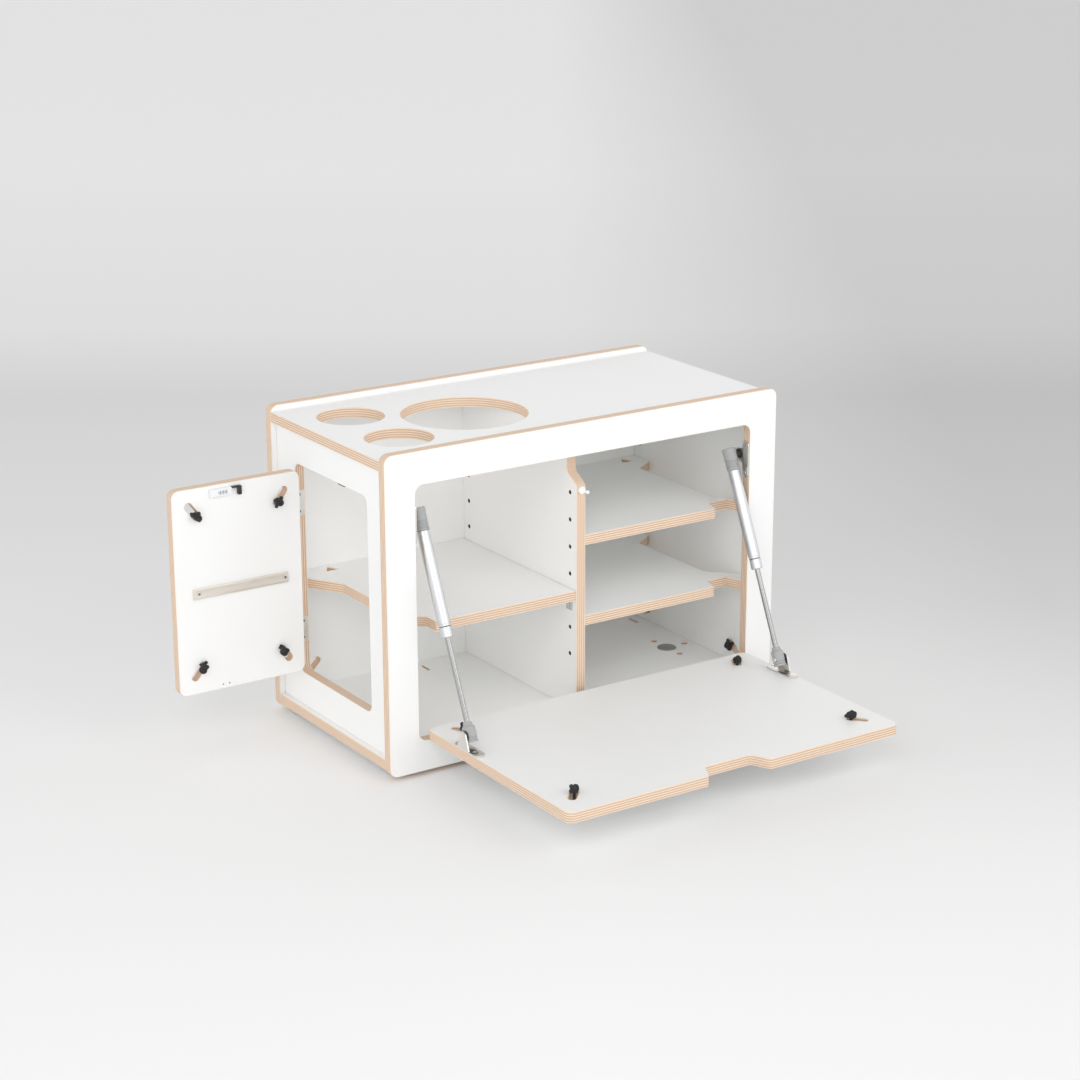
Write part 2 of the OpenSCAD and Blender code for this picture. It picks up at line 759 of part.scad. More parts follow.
module cord(a, b, bow) translate([a[0], a[1], 0]) rotate(atan2(b[1] - a[1], b[0] - a[0]))
    planar_tube(cord_rings(norm(b - a), bow));

// Two crossing cords in a panel from corner lo to corner hi, far and far_up as in corner_slots
module crossed_cords(lo, hi, far, far_up) {
    cord(lo + far, hi - far_up, 0);
    cord([hi[0] - far[0], lo[1] + far[1]], [lo[0] + far_up[0], hi[1] - far_up[1]], cord_bow);
}

// The inner side of the right panel faces left
module side_panel_cords() place() color(black) translate([right_x + board_t, 0, 0])
    rotate([90, 0, -90])
        crossed_cords([-back_y, floor_z], [-board_t, roof_z], side_slot_far, side_slot_far);

// The inner side of the open door faces the front
module door_cords() place() color(black) translate([0, door_y + board_t, 0]) rotate([90, 0, 0])
    crossed_cords([door_x, door_z], [door_x + door_w, door_z + door_h], door_slot_far, door_slot_far);

// The inner side of the open flap faces up
module flap_cords() place() color(black) translate([0, 0, flap_z])
    crossed_cords(flap_lo, flap_hi, flap_slot_far, flap_slot_far_rear);

front_frame();
back_panel();
top_panel();
bottom_panel();
left_side_panel();
right_side_panel();
divider();
left_shelf();
right_upper_shelf();
right_lower_shelf();
shelf_supports();
dowels();
feet();
foot_screws();
divider_catch();
door_strike();
floor_disc();
left_upper_bracket();
right_upper_bracket();
upper_bracket_screws();
side_hinge_frame_leaves();
side_hinge_pins();
side_hinge_frame_screws();
flap_hinge_frame_leaves();
flap_hinge_pins();
flap_hinge_frame_screws();
side_panel_cords();
side_door();
side_hinge_door_leaves();
side_hinge_door_screws();
door_bar();
door_bar_screws();
door_catch();
door_catch_lever();
door_cords();
flap();
flap_hinge_leaves();
flap_hinge_screws();
left_lower_bracket();
right_lower_bracket();
lower_bracket_screws();
flap_cords();
left_rod();
left_rod_head();
left_piston();
left_tube();
left_rod_guide();
left_tube_head();
right_rod();
right_rod_head();
right_piston();
right_tube();
right_rod_guide();
right_tube_head();
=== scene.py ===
"""Looks of the toy kitchen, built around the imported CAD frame. Metres, row frame."""
import json
import math

import bmesh
import bpy
from mathutils import Matrix, Vector


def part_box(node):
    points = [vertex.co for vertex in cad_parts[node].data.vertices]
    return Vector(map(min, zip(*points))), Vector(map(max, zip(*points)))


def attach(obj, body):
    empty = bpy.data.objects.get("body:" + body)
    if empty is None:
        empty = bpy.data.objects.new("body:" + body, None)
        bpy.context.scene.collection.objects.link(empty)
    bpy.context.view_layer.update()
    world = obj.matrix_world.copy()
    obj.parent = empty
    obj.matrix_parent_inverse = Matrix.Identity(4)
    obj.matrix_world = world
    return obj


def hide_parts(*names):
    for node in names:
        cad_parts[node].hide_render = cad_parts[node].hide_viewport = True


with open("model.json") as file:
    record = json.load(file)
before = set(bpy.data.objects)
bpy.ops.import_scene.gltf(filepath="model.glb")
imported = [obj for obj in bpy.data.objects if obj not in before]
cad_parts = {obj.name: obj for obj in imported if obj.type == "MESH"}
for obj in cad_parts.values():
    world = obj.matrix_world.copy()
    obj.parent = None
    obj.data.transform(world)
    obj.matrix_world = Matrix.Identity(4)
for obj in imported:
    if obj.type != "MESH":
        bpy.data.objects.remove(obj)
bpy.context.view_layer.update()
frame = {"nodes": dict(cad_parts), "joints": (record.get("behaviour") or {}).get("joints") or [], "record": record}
NODES = frame["nodes"]
JOINTS = {j["name"]: j for j in frame["joints"]}
MM = 0.001

# Thickness axis of each plywood board
BOARDS = {
    "front_frame": 1, "back_panel": 1, "top_panel": 2, "bottom_panel": 2,
    "left_side_panel": 0, "right_side_panel": 0, "divider": 0,
    "left_shelf": 2, "right_upper_shelf": 2, "right_lower_shelf": 2,
    "side_door": 1, "flap": 2,
}
BODY_OF = {n: b for b, ns in frame["record"]["behaviour"]["bodies"].items() for n in ns}
SLOT_OF = {s["node"]: s["material_slot"] for s in frame["record"]["subparts"]}


# ---------------------------------------------------------------- materials


def new_material(name, color, rough, metal=0.0):
    mat = bpy.data.materials.new(name)
    mat.use_nodes = True
    bsdf = mat.node_tree.nodes["Principled BSDF"]
    bsdf.inputs["Base Color"].default_value = (*color, 1)
    bsdf.inputs["Roughness"].default_value = rough
    bsdf.inputs["Metallic"].default_value = metal
    mat.diffuse_color = (*color, 1)
    return mat


def add(mat, kind, **inputs):
    node = mat.node_tree.nodes.new(kind)
    for key, value in inputs.items():
        if key in node.inputs:
            node.inputs[key].default_value = value
        else:
            setattr(node, key, value)
    return node


def link(mat, a, b):
    mat.node_tree.links.new(a, b)


def bsdf_of(mat):
    return mat.node_tree.nodes["Principled BSDF"]


def object_coords(mat, scale=(1, 1, 1)):
    coord = add(mat, "ShaderNodeTexCoord")
    mapping = add(mat, "ShaderNodeMapping")
    mapping.inputs["Scale"].default_value = scale
    link(mat, coord.outputs["Object"], mapping.inputs["Vector"])
    return mapping.outputs["Vector"]


def noise(mat, vector, scale, detail=3.0, rough=0.5):
    node = add(mat, "ShaderNodeTexNoise", Scale=scale, Detail=detail, Roughness=rough)
    link(mat, vector, node.inputs["Vector"])
    return node.outputs["Fac"]


def ramp(mat, fac, stops):
    node = add(mat, "ShaderNodeValToRGB")
    while len(node.color_ramp.elements) < len(stops):
        node.color_ramp.elements.new(0.5)
    for element, (place, color) in zip(node.color_ramp.elements, stops):
        element.position = place
        element.color = (*color, 1)
    link(mat, fac, node.inputs["Fac"])
    return node.outputs["Color"]


def math_node(mat, operation, a, b=None):
    node = add(mat, "ShaderNodeMath", operation=operation)
    for socket, value in zip(node.inputs, (a, b)):
        if value is None:
            continue
        if isinstance(value, (int, float)):
            socket.default_value = value
        else:
            link(mat, value, socket)
    return node.outputs[0]


def bump(mat, height, strength, distance):
    node = add(mat, "ShaderNodeBump", Strength=strength, Distance=distance)
    link(mat, height, node.inputs["Height"])
    link(mat, node.outputs["Normal"], bsdf_of(mat).inputs["Normal"])


def laminate():
    """White matt laminate: a fine orange-peel press texture and faint cloudy tone changes."""
    mat = new_material("laminate", (0.88, 0.88, 0.87), 0.42)
    vector = object_coords(mat)
    cloud = noise(mat, vector, 9.0, 4.0)
    color = ramp(mat, cloud, [(0.3, (0.893, 0.896, 0.890)), (0.7, (0.910, 0.913, 0.908))])
    link(mat, color, bsdf_of(mat).inputs["Base Color"])
    rough = math_node(mat, "MULTIPLY_ADD", cloud, 0.12)
    rough.node.inputs[2].default_value = 0.44
    link(mat, rough, bsdf_of(mat).inputs["Roughness"])
    bump(mat, noise(mat, vector, 1400.0, 2.0), 0.12, 0.0001)
    return mat


def plywood_edge():
    """Bare birch plywood edge: nine plies across the board, every second one darker end grain,
    with thin glue lines and streaks that run along the plies."""
    mat = new_material("plywood_edge", (0.8, 0.55, 0.36), 0.62)
    depth = add(mat, "ShaderNodeAttribute", attribute_name="depth").outputs["Fac"]
    vector = object_coords(mat)
    wobble = math_node(mat, "SUBTRACT", noise(mat, vector, 14.0, 2.0), 0.5)
    bent = math_node(mat, "MULTIPLY_ADD", wobble, 0.02)
    link(mat, depth, bent.node.inputs[2])
    plies = math_node(mat, "MULTIPLY", bent, 4.5)
    within = math_node(mat, "FRACT", plies)
    band = ramp(mat, within, [
        (0.0, (0.92, 0.76, 0.62)), (0.47, (0.93, 0.78, 0.64)), (0.52, (0.40, 0.22, 0.13)),
        (0.60, (0.72, 0.50, 0.35)), (0.92, (0.69, 0.47, 0.32)), (1.0, (0.38, 0.21, 0.12))])
    streak = add(mat, "ShaderNodeTexNoise", noise_dimensions="4D", Scale=55.0, Detail=5.0, Roughness=0.65)
    link(mat, vector, streak.inputs["Vector"])
    link(mat, math_node(mat, "MULTIPLY", depth, 26.0), streak.inputs["W"])
    grain = ramp(mat, streak.outputs["Fac"], [(0.32, (0.80, 0.76, 0.70)), (0.62, (1.0, 1.0, 1.0))])
    mixed = add(mat, "ShaderNodeMix", data_type="RGBA", blend_type="MULTIPLY")
    mixed.inputs["Factor"].default_value = 0.75
    link(mat, band, mixed.inputs[6])
    link(mat, grain, mixed.inputs[7])
    link(mat, mixed.outputs[2], bsdf_of(mat).inputs["Base Color"])
    bump(mat, streak.outputs["Fac"], 0.25, 0.0002)
    return mat


def brushed_metal(name, color, rough, stretch):
    """Metal with fine brush lines; stretch is small along the lines."""
    mat = new_material(name, color, rough, 1.0)
    vector = object_coords(mat, stretch)
    lines = noise(mat, vector, 900.0, 3.0, 0.7)
    tone = ramp(mat, lines, [(0.3, tuple(c * 0.86 for c in color)), (0.7, color)])
    link(mat, tone, bsdf_of(mat).inputs["Base Color"])
    value = math_node(mat, "MULTIPLY_ADD", lines, 0.18)
    value.node.inputs[2].default_value = rough - 0.09
    link(mat, value, bsdf_of(mat).inputs["Roughness"])
    bump(mat, lines, 0.10, 0.0001)
    return mat


def moulded(name, color, rough, spread=0.06, grain=700.0):
    """Moulded plastic or rubber with a fine grain and uneven gloss."""
    mat = new_material(name, color, rough)
    vector = object_coords(mat)
    cloud = noise(mat, vector, 60.0)
    tone = ramp(mat, cloud, [(0.3, tuple(c * (1 - spread) for c in color)), (0.7, color)])
    link(mat, tone, bsdf_of(mat).inputs["Base Color"])
    value = math_node(mat, "MULTIPLY_ADD", cloud, 0.14)
    value.node.inputs[2].default_value = rough - 0.07
    link(mat, value, bsdf_of(mat).inputs["Roughness"])
    bump(mat, noise(mat, vector, grain), 0.15, 0.0001)
    return mat


def clear_plastic():
    mat = moulded("clear_plastic", (0.93, 0.95, 0.95), 0.2, 0.01)
    bsdf_of(mat).inputs["Transmission Weight"].default_value = 0.45
    bsdf_of(mat).inputs["IOR"].default_value = 1.49
    return mat


def braid():
    """Black braided sleeve: two sets of crossing strands, laid out by the tube's UVs."""
    mat = new_material("braided_cord", (0.012, 0.012, 0.013), 0.78)
    bsdf_of(mat).inputs["Sheen Weight"].default_value = 0.1
    bsdf_of(mat).inputs["Sheen Roughness"].default_value = 0.5
    uv = add(mat, "ShaderNodeTexCoord").outputs["UV"]
    split = add(mat, "ShaderNodeSeparateXYZ")
    link(mat, uv, split.inputs[0])
    around = math_node(mat, "MULTIPLY", split.outputs["X"], 2 * math.pi * STRANDS)
    along = math_node(mat, "MULTIPLY", split.outputs["Y"], 2 * math.pi)
    one = math_node(mat, "SINE", math_node(mat, "ADD", around, along))
    two = math_node(mat, "SINE", math_node(mat, "SUBTRACT", around, along))
    weave = math_node(mat, "MAXIMUM", one, two)
    tone = ramp(mat, weave, [(0.0, (0.004, 0.004, 0.005)), (1.0, (0.03, 0.03, 0.032))])
    link(mat, tone, bsdf_of(mat).inputs["Base Color"])
    bump(mat, weave, 0.6, 0.0003)
    return mat


STRANDS = 6
MAT = {
    "laminate": laminate(),
    "edge": plywood_edge(),
    # Dark brown for the inside of the pin holes: painted shade
    "painted_hole_shade": moulded("pin_hole_painted_shade", (0.16, 0.09, 0.05), 0.8, 0.4, 300.0),
    "beech": moulded("beech_dowel", (0.62, 0.4, 0.2), 0.6),
    "bracket": brushed_metal("bright_steel", (0.80, 0.78, 0.74), 0.30, (0.08, 1, 1)),
    "bar": brushed_metal("bar_steel", (0.90, 0.85, 0.78), 0.34, (0.03, 1, 1)),
    "tube": brushed_metal("tube_aluminium", (0.69, 0.70, 0.72), 0.36, (1, 1, 0.05)),
    "rod": brushed_metal("ground_rod", (0.42, 0.42, 0.42), 0.14, (1, 1, 0.2)),
    "screw": brushed_metal("zinc_screw", (0.82, 0.82, 0.81), 0.26, (1, 1, 1)),
    # Near-black for the screws' cross recesses: painted shade
    "recess": moulded("screw_recess_painted_shade", (0.05, 0.05, 0.05), 0.5),
    "disc": brushed_metal("disc_steel", (0.42, 0.42, 0.41), 0.4, (1, 0.1, 1)),
    "grey": moulded("grey_plastic", (0.40, 0.41, 0.41), 0.42),
    "black": moulded("black_plastic", (0.022, 0.022, 0.023), 0.42),
    "mark": moulded("printed_mark", (0.16, 0.24, 0.33), 0.5),
    "rubber": moulded("foot_rubber", (0.52, 0.52, 0.50), 0.6),
    "white": moulded("white_plastic", (0.85, 0.86, 0.86), 0.3, 0.02),
    "clear": clear_plastic(),
    "cord": braid(),
}


# ---------------------------------------------------------------- mesh helpers


def finish_piece(bm, name, body, mats, slot, replaced=(), sharp=35, keep_flat=False):
    """Turns a bmesh into a piece of the object, shaded smooth except at sharp edges.
    keep_flat leaves the faces that are already marked flat."""
    mesh = bpy.data.meshes.new(name)
    bm.to_mesh(mesh)
    bm.free()
    for mat in mats:
        mesh.materials.append(mat)
    # The imported corner normals don't fit the new edges, so they go
    if "custom_normal" in mesh.attributes:
        mesh.attributes.remove(mesh.attributes["custom_normal"])
    smooth = [p.use_smooth or not keep_flat for p in mesh.polygons]
    mesh.set_sharp_from_angle(angle=math.radians(sharp))
    mesh.polygons.foreach_set("use_smooth", smooth)
    piece = bpy.data.objects.new(name, mesh)
    bpy.context.scene.collection.objects.link(piece)
    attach(piece, body)
    if replaced:
        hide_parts(*replaced)
    return piece


def clean_copy(node):
    """The CAD node's mesh as a bmesh, welded, with the triangles of flat faces joined up."""
    bm = bmesh.new()
    bm.from_mesh(NODES[node].data)
    bmesh.ops.remove_doubles(bm, verts=bm.verts, dist=1e-5)
    bmesh.ops.dissolve_limit(
        bm, angle_limit=math.radians(0.6), verts=bm.verts, edges=bm.edges, use_dissolve_boundaries=False)
    bm.normal_update()
    return bm


def is_corner(edge, degrees=40):
    return len(edge.link_faces) == 2 and edge.calc_face_angle(0) > math.radians(degrees)


# Limits that tell the parts of a board's mesh from each other
ON_FACE = 0.02 * MM
HOLE_STRIP = 0.45 * MM
ROUND_STRIP = 3 * MM


def board(node, axis):
    """Plywood board: eased edges, laminate on both faces and ply layers around its edges.
    The strips of the pin holes, which are the narrowest, get a dark brown material: painted shade inside the
    holes."""
    ease, shortest = 0.5 * MM, 1.2 * MM
    bm = clean_copy(node)
    lo, hi = (corner[axis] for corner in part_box(node))
    on_face = {v for v in bm.verts if min(v.co[axis] - lo, hi - v.co[axis]) < 0.01 * MM}
    rims = [e for e in bm.edges if is_corner(e) and e.calc_length() > shortest
            and e.verts[0] in on_face and e.verts[1] in on_face]
    bmesh.ops.bevel(bm, geom=rims, offset=ease, segments=2, profile=0.5, affect="EDGES", clamp_overlap=False)
    depth = bm.verts.layers.float.new("depth")
    for v in bm.verts:
        for face in (lo, hi):
            if abs(v.co[axis] - face) < ON_FACE:
                v.co[axis] = face
        v[depth] = (v.co[axis] - lo) / (hi - lo)
    bm.normal_update()
    for f in bm.faces:
        middle = f.calc_center_median()[axis]
        inside = min(middle - lo, hi - middle)
        width = f.calc_area() / max(e.calc_length() for e in f.edges)
        if abs(f.normal[axis]) > 0.99 and inside < ON_FACE:
            f.material_index = 0
        # The pin holes' strips take the dark material, which is painted shade inside the holes
        elif axis == 0 and inside > ease and width < HOLE_STRIP:
            f.material_index = 2
        else:
            f.material_index = 1
        f.smooth = f.material_index > 0 and width < ROUND_STRIP
    return finish_piece(
        bm, node + "_board", BODY_OF[node], [MAT["laminate"], MAT["edge"], MAT["painted_hole_shade"]],
        SLOT_OF[node], [node], sharp=25, keep_flat=True)


def eased(node, mat, offset=0.25 * MM, segments=2):
    """A CAD node's own shape with rounded corners and a better material."""
    bm = clean_copy(node)
    corners = [e for e in bm.edges if is_corner(e)]
    bmesh.ops.bevel(bm, geom=corners, offset=offset, segments=segments, profile=0.6, affect="EDGES",
                    clamp_overlap=True)
    return finish_piece(bm, node + "_detail", BODY_OF[node], [mat], SLOT_OF[node], [node])


def lathe_into(bm, profile, place, sides=48, material=0):
    """Adds a turned shape to bm: profile is (radius, height) in mm, place puts it in the row frame."""
    rings = []
    for radius, height in profile:
        if radius < 1e-6:
            rings.append([bm.verts.new(place @ Vector((0, 0, height * MM)))])
            continue
        rings.append([bm.verts.new(place @ Vector((
            radius * MM * math.cos(2 * math.pi * i / sides),
            radius * MM * math.sin(2 * math.pi * i / sides), height * MM))) for i in range(sides)])
    for low, high in zip(rings, rings[1:]):
        for i in range(sides):
            j = (i + 1) % sides
            corners = [low[i % len(low)], low[j % len(low)], high[j % len(high)], high[i % len(high)]]
            face = bm.faces.new(list(dict.fromkeys(corners)))
            face.material_index = material


def sweep_into(bm, points, radius, sides=12, closed=False, pitch=4.2 * MM):
    """Adds a round tube along points, with UVs for the braid. Returns its length."""
    count = len(points)
    uv = bm.loops.layers.uv.verify()
    tangents = []
    for i, p in enumerate(points):
        ahead = points[(i + 1) % count] if closed or i + 1 < count else p
        behind = points[i - 1] if closed or i else p
        tangents.append((ahead - behind).normalized())
    normal = tangents[0].orthogonal().normalized()
    rings, lengths, total = [], [], 0.0
    for i, (p, t) in enumerate(zip(points, tangents)):
        normal = (normal - t * normal.dot(t)).normalized()
        side = t.cross(normal)
        total += (p - points[i - 1]).length if i else 0.0
        lengths.append(total)
        rings.append([bm.verts.new(p + radius * (
            normal * math.cos(2 * math.pi * k / sides) + side * math.sin(2 * math.pi * k / sides)))
            for k in range(sides)])
    pairs = list(zip(range(count - 1), range(1, count))) + ([(count - 1, 0)] if closed else [])
    for a, b in pairs:
        end = lengths[b] if b else total + (points[0] - points[-1]).length
        for k in range(sides):
            j = (k + 1) % sides
            face = bm.faces.new((rings[a][k], rings[a][j], rings[b][j], rings[b][k]))
            for loop, (u, v) in zip(face.loops, (
                    (k, lengths[a]), (k + 1, lengths[a]), (k + 1, end), (k, end))):
                loop[uv].uv = (u / sides, v / pitch)
    if not closed:
        bm.faces.new(list(reversed(rings[0])))
        bm.faces.new(rings[-1])
    return total


# ---------------------------------------------------------------- screws


def screw_into(bm, at, out, radius, dome, roll=0.3):
    """Adds a screw head with a cross recess at a point, facing along out, and its shank."""
    out = out.normalized()
    side = out.orthogonal().normalized()
    place = Matrix.Translation(at) @ Matrix((side, out.cross(side), out)).transposed().to_4x4()
    place = place @ Matrix.Rotation(roll, 4, "Z")
    rings, sides = 9, 32
    sunk = {}
    grid = [[bm.verts.new(place @ Vector((0, 0, 0)))] * sides]
    for r in range(1, rings + 1):
        share = r / rings
        ring = []
        for k in range(sides):
            a = 2 * math.pi * k / sides
            x, y = radius * share * math.cos(a), radius * share * math.sin(a)
            z = dome * (1 - share ** 2)
            arm = min(abs(x), abs(y)) < 0.13 * radius and share < 0.62
            sunk[r * sides + k] = arm
            ring.append(bm.verts.new(place @ Vector((x, y, z - (0.32 * radius if arm else 0)))))
        grid.append(ring)
    grid[0][0].co = place @ Vector((0, 0, dome - 0.45 * radius))
    for r, (low, high) in enumerate(zip(grid, grid[1:]), 1):
        for k in range(sides):
            j = (k + 1) % sides
            face = bm.faces.new(list(dict.fromkeys((low[k], high[k], high[j], low[j]))))
            # Faces in the cross recess take the near-black material, which is painted shade
            face.material_index = int(sunk[r * sides + k] or sunk[r * sides + j])
    cone = [grid[-1]]
    for r, z in ((0.55, -0.6), (0.5, -3.6), (0.0, -4.2)):
        if r:
            cone.append([bm.verts.new(place @ Vector((
                radius * r * math.cos(2 * math.pi * k / sides),
                radius * r * math.sin(2 * math.pi * k / sides),
                radius * z))) for k in range(sides)])
        else:
            cone.append([bm.verts.new(place @ Vector((0, 0, radius * z)))] * sides)
    for low, high in zip(cone, cone[1:]):
        for k in range(sides):
            j = (k + 1) % sides
            bm.faces.new(list(dict.fromkeys((low[k], high[k], high[j], low[j]))))


def islands(node):
    """The separate solids of a CAD node, as (low corner, high corner) pairs."""
    bm = bmesh.new()
    bm.from_mesh(NODES[node].data)
    bmesh.ops.remove_doubles(bm, verts=bm.verts, dist=1e-6)
    left, found = set(bm.verts), []
    while left:
        stack, group = [left.pop()], []
        while stack:
            v = stack.pop()
            group.append(v.co.copy())
            for e in v.link_edges:
                other = e.other_vert(v)
                if other in left:
                    left.remove(other)
                    stack.append(other)
        lo = Vector(min(c[i] for c in group) for i in range(3))
        hi = Vector(max(c[i] for c in group) for i in range(3))
        found.append((lo, hi))
    bm.free()
    return sorted(found, key=lambda pair: tuple(round(c, 5) for c in pair[0]))


def screws(node, out, proud=0.25 * MM):
    """Replaces a node of screws: each gets a crowned head with a cross recess, facing out.
    out is a direction, or a function of a screw's low and high corners."""
    bm = bmesh.new()
    for i, (lo, hi) in enumerate(islands(node)):
        facing = out(lo, hi) if callable(out) else Vector(out)
        axis = max(range(3), key=lambda k: abs(facing[k]))
        at = (lo + hi) / 2
        at[axis] = hi[axis] if facing[axis] > 0 else lo[axis]
        radius = (sum((hi - lo)[k] for k in range(3) if k != axis)) / 4
        screw_into(bm, at, facing, radius, proud, 0.4 + 0.9 * i)
    return finish_piece(
        bm, node + "_detail", BODY_OF[node], [MAT["screw"], MAT["recess"]], SLOT_OF[node], [node])


# ---------------------------------------------------------------- gas struts

# Heights along a strut in mm from its lower pivot, as in the CAD
STRUT_LEN = 243.2
TUBE_TOP = STRUT_LEN - 18.3
COLLAR = TUBE_TOP - 117.7
COLLAR_LEN = 15
NECK = 14.1
# Radii in mm
COLLAR_R = 6.6
ROD_R = 3
BORE_R = 5.5
TUBE_R = 7
CAP_R = 7.9


def strut_place(side):
    """Frame of one strut: origin at the lower pivot, z along the strut, x along the pivot."""
    along = Vector(JOINTS[side + "_tube_slide"]["axis"]).normalized()
    across = Vector((1 if side == "left" else -1, 0, 0))
    turn = Matrix((across, along.cross(across), along)).transposed().to_4x4()
    return Matrix.Translation(Vector(JOINTS[side + "_rod_pivot"]["pos_m"])) @ turn


def turned(node, profile, mats, place, dark=()):
    """Arguments of finish_piece for a turned piece.
    Profile steps whose numbers are in dark take the second material."""
    bm = bmesh.new()
    for k, (a, b) in enumerate(zip(profile, profile[1:])):
        lathe_into(bm, [a, b], place, material=int(k in dark))
    bmesh.ops.remove_doubles(bm, verts=bm.verts, dist=1e-6)
    bmesh.ops.recalc_face_normals(bm, faces=bm.faces)
    return bm, node + "_turned", BODY_OF[node], mats, SLOT_OF[node], [node]


def ribs(radius, low, count, pitch=2.6, depth=0.7):
    """Profile of a ribbed stretch: grooves of the given depth, one every pitch."""
    steps = []
    for i in range(count):
        z = low + i * pitch
        steps += [(radius, z), (radius, z + pitch * 0.55), (radius - depth, z + pitch * 0.65),
                  (radius - depth, z + pitch * 0.9)]
    return steps + [(radius, low + count * pitch)]


def clip_into(bm, place, height, radius, start, end):
    """Black retaining clip round a pivot, from start to end along the strut's inward axis."""
    turn = place @ Matrix.Translation((0, 0, height * MM)) @ Matrix.Rotation(math.pi / 2, 4, "Y")
    chamfer = 0.5
    lathe_into(bm, [
        (0, start), (radius - chamfer, start), (radius, start + chamfer), (radius, end - chamfer),
        (radius - chamfer, end), (0, end)], turn, material=1)


def strut(side):
    """One gas strut: its tube, rod guide, rod, both heads and the piston."""
    place = strut_place(side)
    low, top = COLLAR + COLLAR_LEN, TUBE_TOP
    grey, tube, black = MAT["grey"], MAT["tube"], MAT["black"]
    finish_piece(*turned(side + "_tube", [
        (BORE_R, low), (TUBE_R - 0.4, low), (TUBE_R, low + 0.5), (TUBE_R, top - 0.4), (TUBE_R - 0.3, top),
        (BORE_R, top), (BORE_R, low)], [tube], place))

    seam, bore = COLLAR + 11.5, ROD_R + 0.05
    finish_piece(*turned(side + "_rod_guide", [
        (bore, COLLAR + 1), (3.6, COLLAR), (5.9, COLLAR), (COLLAR_R, COLLAR + 0.7), (COLLAR_R, seam),
        (COLLAR_R - 0.4, seam + 0.3), (COLLAR_R - 0.4, seam + 0.9), (COLLAR_R, seam + 1.2),
        (COLLAR_R, low), (BORE_R - 0.05, low), (BORE_R - 0.05, low + 4), (bore, low + 4),
        (bore, COLLAR + 1)], [tube, black], place, dark=(0, 5)))

    end = COLLAR + 29.5
    finish_piece(*turned(side + "_rod", [
        (0, 6.1), (ROD_R, 6.1), (ROD_R, end - 0.5), (ROD_R - 0.5, end), (0, end)], [MAT["rod"]], place))

    rim = STRUT_LEN + 7.6
    cap = ([(0, top), (6.6, top), (CAP_R, top + 0.8)] + ribs(CAP_R, top + 1.2, 4)
           + [(CAP_R, rim - 6), (8.2, rim - 5.4), (8.2, rim - 0.6), (7.7, rim), (6.6, rim),
              (6.2, rim - 0.6), (5.8, rim - 5), (0, rim - 5)])
    steps = len(cap) - 1
    bm, *facts = turned(side + "_tube_head", cap, [grey, black], place, dark=(steps - 1, steps - 2))
    clip_into(bm, place, STRUT_LEN, 6.2, -8.6, -5.6)
    finish_piece(bm, *facts)

    bm, *facts = turned(side + "_rod_head", [
        (0, -6), (5.2, -6), (5.6, -8), (6.6, -8.2), (7.2, -7.6)] + ribs(7.2, -7, 2) + [
        (7.2, 8), (6.9, 9), (5.1, 11), (4.9, NECK - 0.6), (4.4, NECK), (bore, NECK), (bore, 9), (0, 9)],
        [grey, black], place, dark=(0, 1))
    clip_into(bm, place, 0, 6.6, -7.6, -5.4)
    finish_piece(bm, *facts)
    eased(side + "_piston", MAT["black"])


def upper_bracket(side):
    """Steel plate on the opening's edge, with a black socket that holds the strut's stud."""
    node = side + "_upper_bracket"
    lo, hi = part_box(node)
    bm = clean_copy(node)
    bmesh.ops.bevel(bm, geom=[e for e in bm.edges if is_corner(e)], offset=0.3 * MM, segments=2,
                    profile=0.6, affect="EDGES", clamp_overlap=True)
    plate_t = 2
    for f in bm.faces:
        x = f.calc_center_median().x
        from_wall = x - lo.x if side == "left" else hi.x - x
        f.material_index = int(from_wall > (plate_t + 0.2) * MM)
    stud_len = (hi.x - lo.x) / MM - plate_t
    clip_into(bm, strut_place(side), STRUT_LEN, 5.2, -8.8 - stud_len, -9.2)
    return finish_piece(bm, node + "_detail", BODY_OF[node], [MAT["bracket"], MAT["black"]],
                        SLOT_OF[node], [node])


# ---------------------------------------------------------------- cords

CORD_R = 1.6 * MM
BOARD_T = 12 * MM
# The cord lies this far off the board, bows this much to pass its partner, and bends this tightly
OFF = CORD_R + 0.15 * MM
BOW = 3.3 * MM
BEND = 3.2 * MM
# Knot: size of its loops, radius of its thickened cord, its middle above the board and
# towards the board's edge
KNOT_SIZE = 3.5 * MM
KNOT_CORD_R = 2.3 * MM
KNOT_RISE = 4.8 * MM
KNOT_BACK = 1.4 * MM
# Distances in mm of the slots' inner ends from the edges of their boards
SIDE_SLOT = (39, 21)
DOOR_SLOT = (29, 32)
FLAP_SLOT_FRONT = (35, 42)
FLAP_SLOT_REAR = (33, 29)


def knot_points(at, way, up, size, turn):
    """Centreline of a tight trefoil knot round at, as a closed loop. It is longest along way."""
    other = up.cross(way)
    c, s = math.cos(turn), math.sin(turn)
    points = []
    for i in range(72):
        t = 2 * math.pi * i / 72
        x = (math.sin(t) + 2 * math.sin(2 * t)) / 3
        y = (math.cos(t) - 2 * math.cos(2 * t)) / 3
        z = -math.sin(3 * t)
        points.append(at + size * (way * (1.25 * (x * c - y * s)) + other * (0.95 * (x * s + y * c))
                                   + up * (0.62 * z)))
    return points


